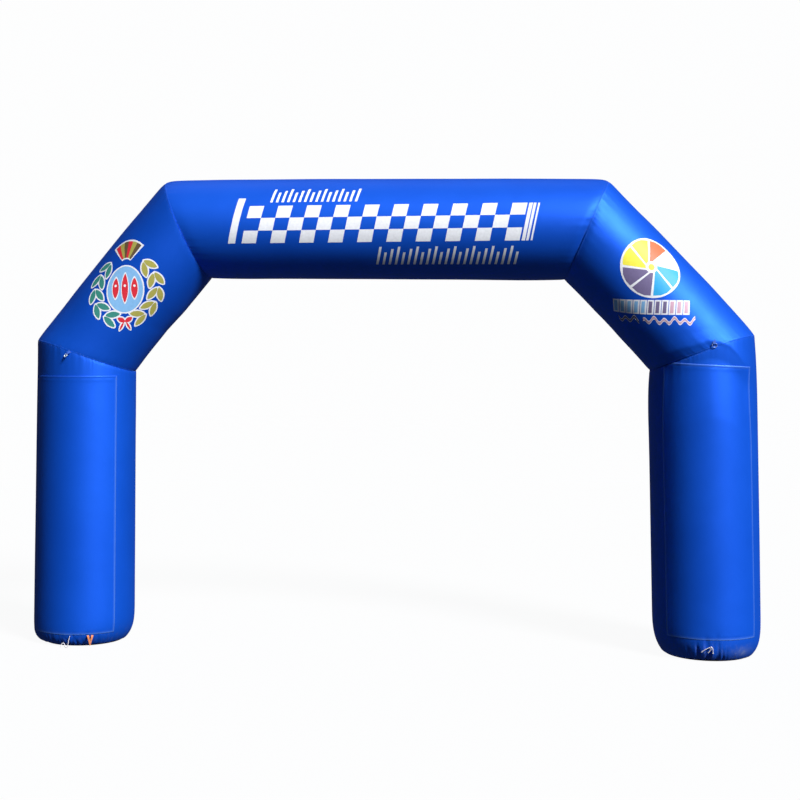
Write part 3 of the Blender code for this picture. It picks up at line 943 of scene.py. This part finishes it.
for left, right, ribbon_ink in ((-0.285, -0.105, "grey"), (-0.070, 0.345, "pink")):
    steps = round((right - left) / 0.005)
    places = [left + (right - left) * step / steps for step in range(steps + 1)]
    middle = [(x, -0.328 + 0.018 * math.sin(78 * x) + 0.007 * math.sin(37 * x + 1.0)) for x in places]
    for half_thick, layer, laid in ((0.015, 0.3, "white"), (0.0085, 1.1, ribbon_ink)):
        top = [(x, y + half_thick) for x, y in middle]
        bottom = [(x, y - half_thick) for x, y in reversed(middle)]
        wheel.append((top + bottom, laid, layer))
print_on_cloth("print_pinwheel", wheel, place_on_diagonal("right", 0.705, 0.051), 0.016)

# ---- The tethers ----
# A folded tab of 25 mm blue webbing, sewn to the front of each shoulder, holds a bright steel D-ring, 38 mm
# across, bent from 6 mm wire. The left tab is in the seam and has swung aside. The right one is above it.
TAB_WIDTH = 0.025
TAB_THICKNESS = 0.0012
TAB_LENGTH = 0.034
EYE_RADIUS = 0.0052
PLY_SPACING = 0.0032
ROOT_LIFT = 0.0038
SEAM_DRAW = 0.007
SEAM_REACH = 0.05
WIRE_RADIUS = 0.003
RING_HALF = 0.019
RING_CORNER = 0.006
BOW_DROP = 0.010
LEFT_ROOT = (-LEG_X - 0.023, -0.4124, SHOULDER_Z + 0.0086)
RIGHT_ROOT = (LEG_X + 0.057, -0.4065, SHOULDER_Z + 0.090)
# The right ring is painted darker and bluer: painted shade, and a painted reflection of the blue cloth.
TETHERS = (
    {"side": "left", "root": LEFT_ROOT, "swing": -41, "twist": -55, "lift": 0.022, "shade_and_reflection": 0.0},
    {"side": "right", "root": RIGHT_ROOT, "swing": 4, "twist": 12, "lift": 0.009, "shade_and_reflection": 0.85},
)

SOIL = (0.01, 5.0, 0.4, 0.8)
tab_webbing = worn_material("tab_webbing", (0.008, 0.075, 0.42), (0.02, 0.07, 0.26), 0.7, 0.3, SOIL)
use_bump(tab_webbing, weave_height(tab_webbing, 0.0016), 0.00025, 0.8)

# The steel's slight blue tint is a painted reflection of the blue cloth.
ring_steel = new_material("ring_steel", (0.80, 0.90, 0.98), 0.28, metallic=0.25)
# Painted shade and painted reflection: a ring darkens towards blue as far as its tether's last number says.
shade_and_reflection = shade_on(ring_steel, "shade_and_reflection")
steel_with_painted_shade = mix_colours(ring_steel, shade_and_reflection, (0.80, 0.92, 1.0, 1.0), (0.05, 0.15, 0.48, 1.0))
feed_shader(ring_steel, "Base Color", steel_with_painted_shade)
scratches = uneven(ring_steel, 0.003, 4.0)
feed_shader(ring_steel, "Roughness", stretched(ring_steel, scratches, least=0.2, most=0.36))


def tether_frame(tether):
    """The tab's own frame at its root: x across the webbing, y out of the cloth, z back up the tab."""
    root = Matrix.Translation(tether["root"])
    return root @ Matrix.Rotation(math.radians(-tether["swing"]), 4, "Y") @ Matrix.Rotation(math.pi, 4, "Z")


def hang_from_root(point, tether):
    """Lift a point off the cloth and twist it about the tab, more the further it is from the root."""
    drop = max(0.0, -point.z)
    share = min(1.0, drop / (TAB_LENGTH - EYE_RADIUS))
    ease = share * share * (3 - 2 * share)
    lift = ROOT_LIFT + (tether["lift"] - ROOT_LIFT) * ease + SEAM_DRAW * (1 - math.exp(-drop / SEAM_REACH))
    turned = Matrix.Rotation(math.radians(tether["twist"]) * ease, 3, "Z") @ Vector((point.x, point.y, 0.0))
    return tether_frame(tether) @ Vector((turned.x, turned.y + lift, point.z))


def stitch_across(path, webbing_frame):
    """Stitches on the face of webbing, which looks out along its own y."""
    outward = webbing_frame.to_3x3() @ Vector((0.0, 1.0, 0.0))
    return stitch_line(np.array(path), np.tile(outward, (len(path), 1)), False)


def cap_rows(grid):
    """Close both ends of a tube by drawing its last rows in to their middle."""
    first, last = grid[:1].mean(axis=1, keepdims=True), grid[-1:].mean(axis=1, keepdims=True)
    head = [first + (grid[:1] - first) * share for share in (0.02, 0.85)]
    tail = [last + (grid[-1:] - last) * share for share in (0.85, 0.02)]
    return np.concatenate(head + [grid] + tail)


def face_outward(mesh, *others):
    """Turn a mesh's faces outward, with those of any other mesh joined to it."""
    bm = bmesh.new()
    for part in (mesh, *others):
        bm.from_mesh(part)
    bmesh.ops.recalc_face_normals(bm, faces=bm.faces[:])
    bm.to_mesh(mesh)
    bm.free()


def solid_piece(name, grid, material, node):
    """A smooth closed piece from rows of points that stands in for a CAD node."""
    around, along = walk(grid[len(grid) // 2]), walk(grid.mean(axis=1))
    piece = grid_mesh(name, grid, material, True, np.stack(np.meshgrid(around, along), axis=2))
    face_outward(piece.data)
    stand_in(piece, node)
    return piece


def webbing_section(half_width, half_thickness):
    """The outline of flat webbing with rounded edges, as (across, out of the face)."""
    turn = math.tau * (np.arange(28) + 0.5) / 28
    across, out = np.cos(turn), np.sin(turn)
    across = half_width * np.sign(across) * np.abs(across) ** 0.35
    return list(zip(across, half_thickness * np.sign(out) * np.abs(out) ** 0.6))


def swept(line, shape, joined=False):
    """Rows of a shape, given as (square to the line, out of its plane), that runs along a flat line."""
    rows = []
    for i, (x, y) in enumerate(line):
        before = line[i - 1] if i else line[-2 if joined else 0]
        after = line[i + 1] if i + 1 < len(line) else line[1 if joined else -1]
        along = Vector((after[0] - before[0], after[1] - before[1])).normalized()
        rows.append([(x - along.y * aside, y + along.x * aside, level) for aside, level in shape])
    return rows


for tether in TETHERS:
    side = tether["side"]
    half_gap = PLY_SPACING / 2
    straight = TAB_LENGTH - EYE_RADIUS * 1.5
    fold = [(half_gap, straight * step / 24) for step in range(25)]
    for step in range(25):
        turn = math.radians(60 + 10 * step)
        fold.append((EYE_RADIUS * math.sin(turn), TAB_LENGTH - EYE_RADIUS * math.cos(turn)))
    fold += [(-half_gap, straight * (1 - step / 24)) for step in range(25)]
    webbing = [(y, x) for x, y in webbing_section(TAB_WIDTH / 2, TAB_THICKNESS / 2)]
    rows = [
        [hang_from_root(Vector((x, out, -drop)), tether) for out, drop, x in row]
        for row in swept(fold, webbing)
    ]
    solid_piece("tab_" + side, cap_rows(np.array(rows)), tab_webbing, "tether_tab_" + side)

    face = half_gap + TAB_THICKNESS / 2
    stitches = []
    for drop in (0.006, 0.011, 0.016):
        path = [hang_from_root(Vector((x, face, -drop)), tether) for x in np.linspace(-0.0095, 0.0095, 12)]
        stitches.append(stitch_across(path, tether_frame(tether)))
    stitch_piece("tab_stitches_" + side, stitches)

    bar_half = RING_HALF - RING_CORNER
    half_bar = [(share * bar_half, 0.0) for share in np.linspace(0.0, 1.0, 5)]
    for step in range(1, 9):
        turn = math.radians(10 * step)
        half_bar.append((bar_half + RING_CORNER * math.sin(turn), RING_CORNER * (1 - math.cos(turn))))
    bow = arc_shape(0.0, BOW_DROP, RING_HALF, RING_HALF, 0, 180 * 49 / 48, 49)
    wire = half_bar + bow + [(-x, y) for x, y in reversed(half_bar)]
    rows = [
        [hang_from_root(Vector((x, out, -TAB_LENGTH - y)), tether) for x, y, out in row]
        for row in swept(wire, arc_shape(0, 0, WIRE_RADIUS, WIRE_RADIUS, count=20), True)
    ]
    ring = solid_piece("ring_" + side, np.array(rows), ring_steel, "tether_ring_" + side)
    set_shade(ring, "shade_and_reflection", np.full(len(ring.data.vertices), tether["shade_and_reflection"]))

# ---- The foot ties ----
# Ends of soft white braided cord, 6 mm thick. The left one is sewn in under the hem and makes a loop at the
# floor. The right one is knotted on the foot: two ends hang from the knot, and a short tail is knotted again.
# Every place is in millimetres from the leg's axis, in front of the tube and above the floor.
TIE_RADIUS = 0.003
KNOT_STRAND = 0.0026
BRAID_STRANDS = 8
CORD_SIDES = 24
KNOT_STEPS = 90
LEFT_ROUTE = (
    (3, 4, 99), (2, 4, 92), (0, 5, 82), (-3, 5, 70), (-6, 5, 58), (-8, 6, 46), (-9, 7, 34),
    (-10, 8, 22), (-13, 9, 12), (-19, 9, 6), (-27, 8, 6), (-34, 6, 11), (-38, 3, 20), (-42, 0, 30),
    (-49, -2, 37), (-58, -2, 37), (-65, 0, 31), (-69, 3, 21), (-71, 6, 12), (-73, 9, 4),
)
LONG_ROUTE = (
    (-26, 8, 124), (-32, 8, 122), (-39, 7, 119), (-46, 6, 115), (-53, 5, 111), (-60, 4, 107),
    (-67, 3, 103), (-74, 2, 99), (-80, 1, 94), (-86, 0, 89), (-91, -1, 84),
)
SHORT_ROUTE = (
    (-18, 9, 117), (-20, 9, 111), (-23, 9, 105), (-27, 8, 99), (-31, 7, 93), (-36, 6, 87), (-40, 5, 82),
)
TAIL_ROUTE = ((-10, 9, 123), (-6, 9, 117), (-4, 9, 111), (-3, 8, 105), (-3, 8, 99), (-3, 7, 93), (-3, 6, 86))
TIES = (
    {"name": "tie_left", "leg_x": -LEG_X, "far_end": "bare", "route": LEFT_ROUTE},
    {"name": "tie_right_long_end", "leg_x": LEG_X, "far_end": "bare", "route": LONG_ROUTE},
    {"name": "tie_right_short_end", "leg_x": LEG_X, "far_end": "bare", "route": SHORT_ROUTE},
    {"name": "tie_right_tail", "leg_x": LEG_X, "far_end": "knot", "route": TAIL_ROUTE},
)
KNOTS = (
    {"name": "tie_right_knot", "centre": (-17, 8.5, 126), "size": (16, 15, 14), "tilt": 0.5},
    {"name": "tie_right_tail_knot", "centre": (-3, 6.5, 80.5), "size": (13, 12, 13), "tilt": 1.2},
)

GRIME = (0.012, 5.0, 0.45, 0.8)
tie_cord = worn_material("tie_cord", (0.66, 0.65, 0.70), (0.42, 0.38, 0.40), 0.78, 0.3, GRIME)
use_bump(tie_cord, uneven(tie_cord, 0.0006), 0.0002, 0.6)


def foot_point(leg_x, x, front, height):
    return Vector((leg_x + x / 1000, -TUBE_RADIUS - front / 1000, height / 1000))


def smooth_path(points, steps):
    """A smooth curve through every point."""
    path = []
    last = len(points) - 1
    for i in range(last):
        before, a, b, after = points[max(i - 1, 0)], points[i], points[i + 1], points[min(i + 2, last)]
        for step in range(steps):
            t = step / steps
            bend = (before * 2 - a * 5 + b * 4 - after) * (t * t / 2)
            bend += (a * 3 - before - b * 3 + after) * (t * t * t / 2)
            path.append(a + (b - before) * (t / 2) + bend)
    path.append(points[-1])
    return path


def braided_rows(path, radius, joined=False):
    """Rows of points round a cord's path, raised and sunk where the strands of its braid cross."""
    rows = []
    turn = np.arange(CORD_SIDES) * math.tau / CORD_SIDES
    aside = Vector((0.3, 0.9, 0.3))
    walked = 0.0
    for i, here in enumerate(path):
        before = path[i - 1] if i or joined else here
        after = path[(i + 1) % len(path)] if i + 1 < len(path) or joined else here
        along = (after - before).normalized()
        aside = (aside - along * aside.dot(along)).normalized()
        other = aside.cross(along)
        walked += (here - path[i - 1]).length if i else 0.0
        lay = walked / radius * 1.6
        strand = np.cos(BRAID_STRANDS / 2 * turn + lay) * np.cos(BRAID_STRANDS / 2 * turn - lay)
        reach = radius * (1 + 0.06 * strand)
        row = np.outer(np.cos(turn) * reach, aside) + np.outer(np.sin(turn) * reach, other)
        rows.append(np.array(here) + row)
    return np.array(rows)


for knot in KNOTS:
    centre = foot_point(LEG_X, *knot["centre"])
    wide, deep, high = (side / 2000 - KNOT_STRAND for side in knot["size"])
    tilt = Matrix.Rotation(knot["tilt"], 3, "Y")
    path = []
    for step in range(KNOT_STEPS):
        turn = math.tau * step / KNOT_STEPS
        x = wide * (math.sin(turn) + 2 * math.sin(2 * turn)) / 3
        z = high * (math.cos(turn) - 2 * math.cos(2 * turn)) / 3
        path.append(centre + tilt @ Vector((x, -0.55 * deep * math.sin(3 * turn), z)))
    rows = braided_rows(path, KNOT_STRAND, True)
    rows = np.concatenate([rows, rows[:1]])
    solid_piece("cord_" + knot["name"], rows, tie_cord, knot["name"])

for tie in TIES:
    path = smooth_path([foot_point(tie["leg_x"], *point) for point in tie["route"]], 10)
    rows = cap_rows(braided_rows(path, TIE_RADIUS))
    cord_piece = solid_piece("cord_" + tie["name"], rows, tie_cord, tie["name"])
    length = sum((b - a).length for a, b in zip(path, path[1:]))

# ---- The anchor strap ----
# Orange polyester webbing 2 mm thick at the left foot. Its two ends are sewn under the banner's hem, and it
# narrows to a V where they are stitched together. The tables are in millimetres: how far down, the outer and
# inner edges of the webbing from the middle line, and how far it stands off the foot.
STRAP_TURN = math.radians(23)
STRAP_HALF_THICKNESS = 0.001
STRAP_DOWN = (0, 8, 16, 28, 46, 66, 80, 84)
STRAP_OUTER = (27.0, 25.0, 23.0, 19.5, 14.0, 8.5, 5.0, 2.5)
STRAP_INNER = (9.0, 7.6, 6.2, 4.0, 0.05, 0.05, 0.05, 0.05)
STRAP_OFF = (1.8, 6.5, 8.5, 8.5, 6.5, 3.0, 0.5, 0.0)

RUBS = (0.012, 5.0, 0.4, 0.8)
strap_webbing = worn_material("strap_webbing", (0.74, 0.23, 0.07), (0.50, 0.20, 0.10), 0.7, 0.35, RUBS)
use_bump(strap_webbing, weave_height(strap_webbing, 0.0020), 0.0003, 0.8)

left_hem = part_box("banner_panel_left")[0].z
strap_place = (
    Matrix.Translation((-LEG_X, 0.0, left_hem - 0.0004))
    @ Matrix.Rotation(STRAP_TURN + math.pi, 4, "Z")
    @ Matrix.Translation((0.0, TUBE_RADIUS, 0.0))
)
outer_edge, inner_edge = (
    smooth_path([Vector((x, off, -down)) / 1000 for x, off, down in zip(edge, STRAP_OFF, STRAP_DOWN)], 8)
    for edge in (STRAP_OUTER, STRAP_INNER)
)
bands = []
for mirror in (-1.0, 1.0):
    rows = []
    for i, (near, far) in enumerate(zip(inner_edge, outer_edge)):
        near = Vector((max(near.x, 0.00005), near.y, near.z))
        along = outer_edge[min(i + 1, len(outer_edge) - 1)] - outer_edge[max(i - 1, 0)]
        facing = Vector((0.0, -along.z, along.y)).normalized()
        row = []
        for across, out in webbing_section(0.5, STRAP_HALF_THICKNESS):
            point = near.lerp(far, 0.5 + across) + facing * out
            row.append(strap_place @ Vector((point.x * mirror, point.y, point.z)))
        rows.append(row)
    bands.append(cap_rows(np.array(rows)))
strap = solid_piece("webbing_anchor_strap", bands[0], strap_webbing, "anchor_strap_left")
other_band = grid_mesh("other_band", bands[1], strap_webbing, True, bands[1][..., :2])
face_outward(strap.data, other_band.data)
bpy.data.objects.remove(other_band, do_unlink=True)

strap_stitches = []
for down in (50, 56, 62):
    half = np.interp(down, STRAP_DOWN, STRAP_OUTER) / 1000 - 0.002
    off = np.interp(down, STRAP_DOWN, STRAP_OFF) / 1000 + STRAP_HALF_THICKNESS
    path = [strap_place @ Vector((x, off, -down / 1000)) for x in np.linspace(-half, half, 10)]
    strap_stitches.append(stitch_across(path, strap_place))
stitch_piece("strap_stitches", strap_stitches)

# ---- The studio ----
# A pale floor that fades into an even backdrop, a soft key light from the upper right and a weaker one from
# behind. The camera stands in front of the arch.
floor_mesh = bpy.data.meshes.new("floor")
bm = bmesh.new()
bmesh.ops.create_circle(bm, cap_ends=True, segments=96, radius=60.0)
bm.to_mesh(floor_mesh)
bm.free()
floor = add_object("floor", floor_mesh)
floor.location.z = -0.0005
floor.visible_diffuse = False
floor.visible_glossy = False

pale_floor = new_material("pale_floor", (0.03, 0.03, 0.031), 0.9, specular=0.0)
floor_shader = pale_floor.node_tree.nodes["Principled BSDF"]
floor_shader.inputs["Emission Color"].default_value = (0.985, 0.988, 0.99, 1.0)
floor_shader.inputs["Emission Strength"].default_value = 0.96
floor_place = add_node(pale_floor, "TexCoord", {}).outputs["Object"]
from_middle = add_node(pale_floor, "VectorMath", {0: floor_place}, operation="LENGTH").outputs["Value"]
fading_out = {0: from_middle, 1: 9.0, 2: 40.0, 3: 1.0, 4: 0.0}
fade = add_node(pale_floor, "MapRange", fading_out, interpolation_type="SMOOTHSTEP")
feed_shader(pale_floor, "Alpha", fade.outputs[0])
floor_mesh.materials.append(pale_floor)

world = bpy.data.worlds.new("studio")
world.use_nodes = True
bpy.context.scene.world = world
backdrop = add_node(world, "Background", {"Color": (0.985, 0.987, 0.99, 1.0), "Strength": 1.0}).outputs[0]
room_light = add_node(world, "Background", {"Color": (0.75, 0.85, 1.0, 1.0), "Strength": 0.07}).outputs[0]
seen = add_node(world, "LightPath", {}).outputs["Is Camera Ray"]
both = add_node(world, "MixShader", {0: seen, 1: room_light, 2: backdrop}).outputs[0]
world.node_tree.links.new(both, world.node_tree.nodes["World Output"].inputs["Surface"])

LIGHTS = (
    {"name": "key_light", "from_side": 45, "height": 37, "strength": 6.0, "softness": 16},
    {"name": "back_light", "from_side": 200, "height": 65, "strength": 0.25, "softness": 40},
)
for light in LIGHTS:
    lamp = bpy.data.lights.new(light["name"], "SUN")
    lamp.energy = light["strength"]
    lamp.angle = math.radians(light["softness"])
    side_angle, height_angle = math.radians(light["from_side"]), math.radians(light["height"])
    source = Vector((math.sin(side_angle), -math.cos(side_angle), 0.0)) * math.cos(height_angle)
    source.z = math.sin(height_angle)
    lamp_object = add_object(light["name"], lamp)
    lamp_object.rotation_euler = source.to_track_quat("Z", "Y").to_euler()
    lamp_object.location = source * 12.0

FOCAL_SHARE = 1.7703
camera = bpy.data.cameras.new("camera")
camera.lens = camera.sensor_width * FOCAL_SHARE
camera.shift_x = 0.0785
camera.shift_y = -0.1982
camera.clip_end = 200.0
camera_object = add_object("camera", camera)
camera_object.location = (1.0666, -11.8947, 2.4824)
camera_object.rotation_euler = (math.pi / 2 + 0.0723, 0.0025, 0.1235)
bpy.context.scene.camera = camera_object
bpy.context.scene.view_settings.view_transform = "Standard"
